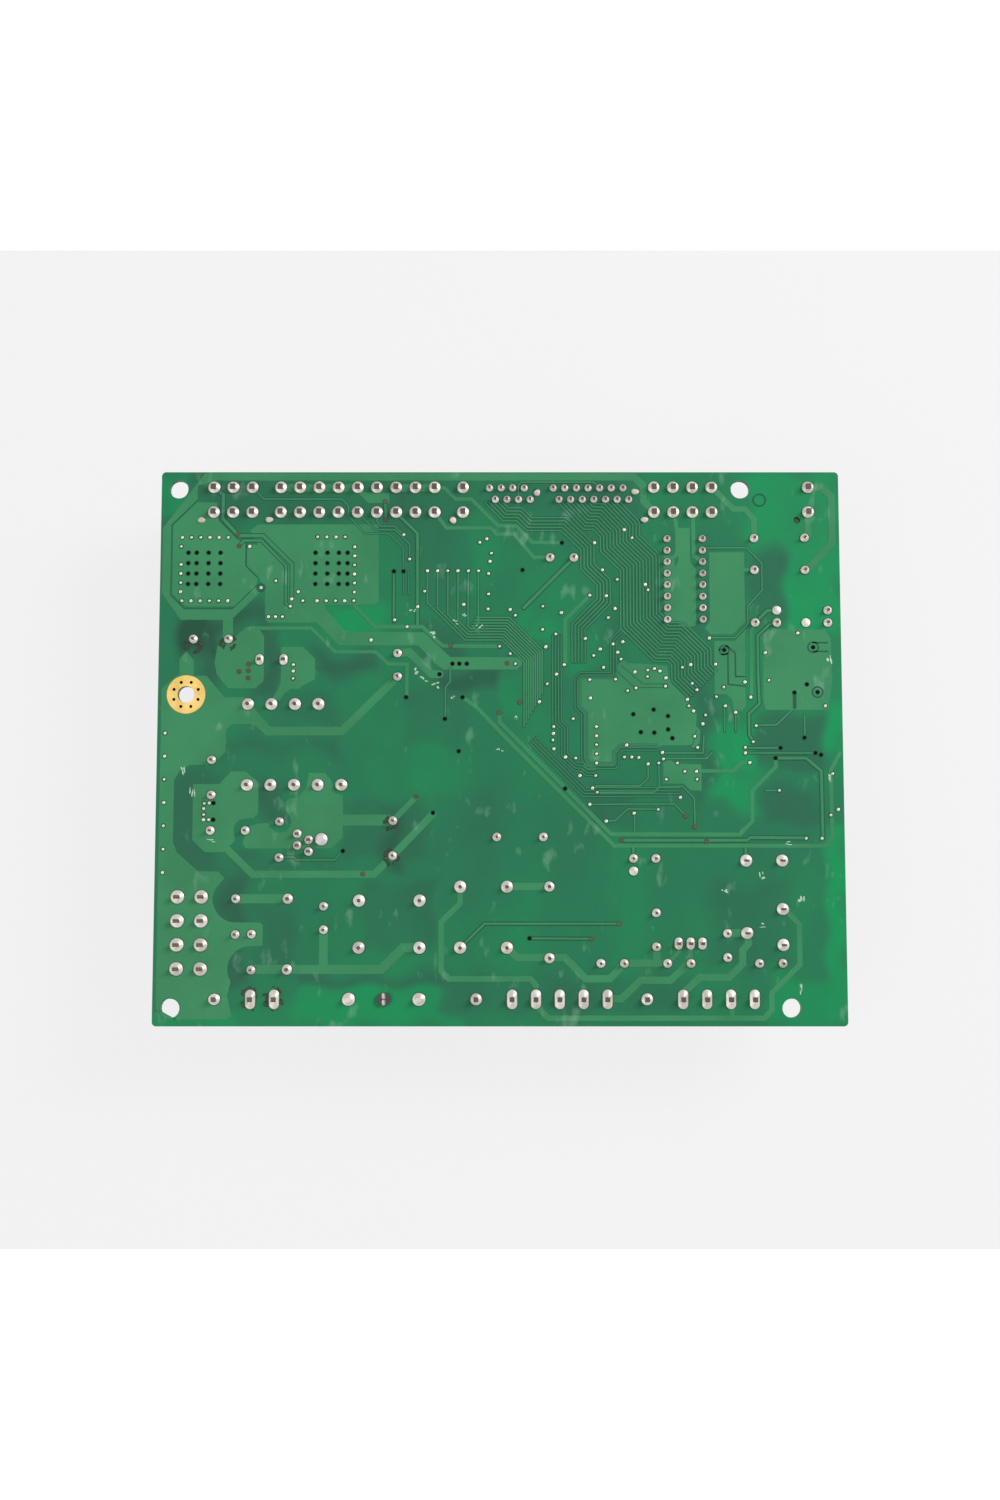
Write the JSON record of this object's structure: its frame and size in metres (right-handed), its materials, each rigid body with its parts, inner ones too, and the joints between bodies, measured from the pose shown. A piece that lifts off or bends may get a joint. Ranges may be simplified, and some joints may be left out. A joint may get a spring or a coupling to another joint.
{
  "type": "boiler control board",
  "caption": "Populated circuit board of a gas boiler: plug headers, mains filter, switched supply, relay and microcontroller under a green board with screw holes.",
  "frame": {"origin": "under the middle of the board, on the plane that the tallest pieces stand on", "axes": "+X along the board's long edge, +Y towards the edge with the low-voltage headers, +Z out of the solder side"},
  "size_m": [0.148, 0.12, 0.0231],
  "materials": {
    "board": "solder-resist green over woven glass epoxy, satin gloss",
    "gold_land": "bare gold-plated copper",
    "solder": "tin solder, satin with small bright spots",
    "header_nylon": "natural nylon",
    "tinned_pin": "tinned metal",
    "socket_plastic": "moulded red-brown plastic",
    "mains_plastic": "moulded off-white plastic",
    "tab_brass": "tinned brass",
    "fuse_plastic": "moulded black plastic",
    "clip_metal": "nickel-plated spring bronze",
    "cap_metal": "nickel-plated brass",
    "fuse_glass": "clear glass tube",
    "wire_metal": "thin fuse wire",
    "ferrite": "sintered ferrite, ground faces",
    "yellow_tape": "polyester insulating tape",
    "bobbin_plastic": "moulded black phenolic",
    "winding_tape": "winding under polyester tape",
    "copper_wire": "enamelled copper wire",
    "x_capacitor_plastic": "potted plastic case",
    "film_capacitor_plastic": "potted plastic case",
    "can_sleeve": "aluminium can in a shrunk plastic sleeve",
    "disc_blue": "dipped epoxy coat",
    "varistor_coat": "dipped epoxy coat",
    "resistor_coat": "flameproof lacquer",
    "chip_epoxy": "moulded black epoxy",
    "tinned_tab": "tinned copper tab and legs",
    "heatsink_metal": "extruded aluminium",
    "relay_plastic": "moulded plastic cover",
    "chip_ceramic": "sintered ceramic with tinned ends",
    "chip_resistor": "glazed film on alumina with tinned ends",
    "crystal_can": "welded steel can"
  },
  "bodies": {
    "root": {"circuit_board": "board", "earth_land": "gold_land", "solder_joints": "solder", "fan_header_housing": "header_nylon", "sensor_header_housing": "header_nylon", "thermostat_header_housing": "header_nylon", "gas_valve_header_housing": "header_nylon", "ignition_header_housing": "header_nylon", "power_header_pins": "tinned_pin", "display_socket_housing": "socket_plastic", "expansion_socket_housing": "socket_plastic", "ribbon_socket_contacts": "tinned_pin", "mains_header_housing": "mains_plastic", "output_header_housing": "mains_plastic", "controls_header_housing": "mains_plastic", "wide_header_pins": "tinned_pin", "earth_tabs": "tab_brass", "fuse_base": "fuse_plastic", "fuse_clips": "clip_metal", "fuse_end_caps": "cap_metal", "fuse_glass": "fuse_glass", "fuse_wire": "wire_metal", "transformer_core": "ferrite", "transformer_tape": "yellow_tape", "transformer_bobbin": "bobbin_plastic", "transformer_winding": "winding_tape", "transformer_pins": "tinned_pin", "choke_cores": "ferrite", "choke_bobbins": "bobbin_plastic", "choke_windings": "copper_wire", "choke_pins": "tinned_pin", "x_capacitor_cases": "x_capacitor_plastic", "film_capacitor_cases": "film_capacitor_plastic", "output_capacitor": "can_sleeve", "bulk_capacitor": "can_sleeve", "smoothing_capacitor": "can_sleeve", "standby_capacitor": "can_sleeve", "reset_capacitor": "can_sleeve", "y_capacitors": "disc_blue", "varistors": "varistor_coat", "power_resistor": "resistor_coat", "clamp_diode": "chip_epoxy", "wire_leads": "tinned_pin", "power_package_bodies": "chip_epoxy", "power_package_metal": "tinned_tab", "heatsink": "heatsink_metal", "relay_case": "relay_plastic", "relay_pins": "tinned_pin", "logic_chip": "chip_epoxy", "logic_chip_legs": "tinned_pin", "microcontroller": "chip_epoxy", "power_chips": "chip_epoxy", "small_chips": "chip_epoxy", "surface_chip_leads": "tinned_pin", "chip_capacitors": "chip_ceramic", "chip_resistors": "chip_resistor", "clock_crystal": "crystal_can"}
  },
  "joints": []
}
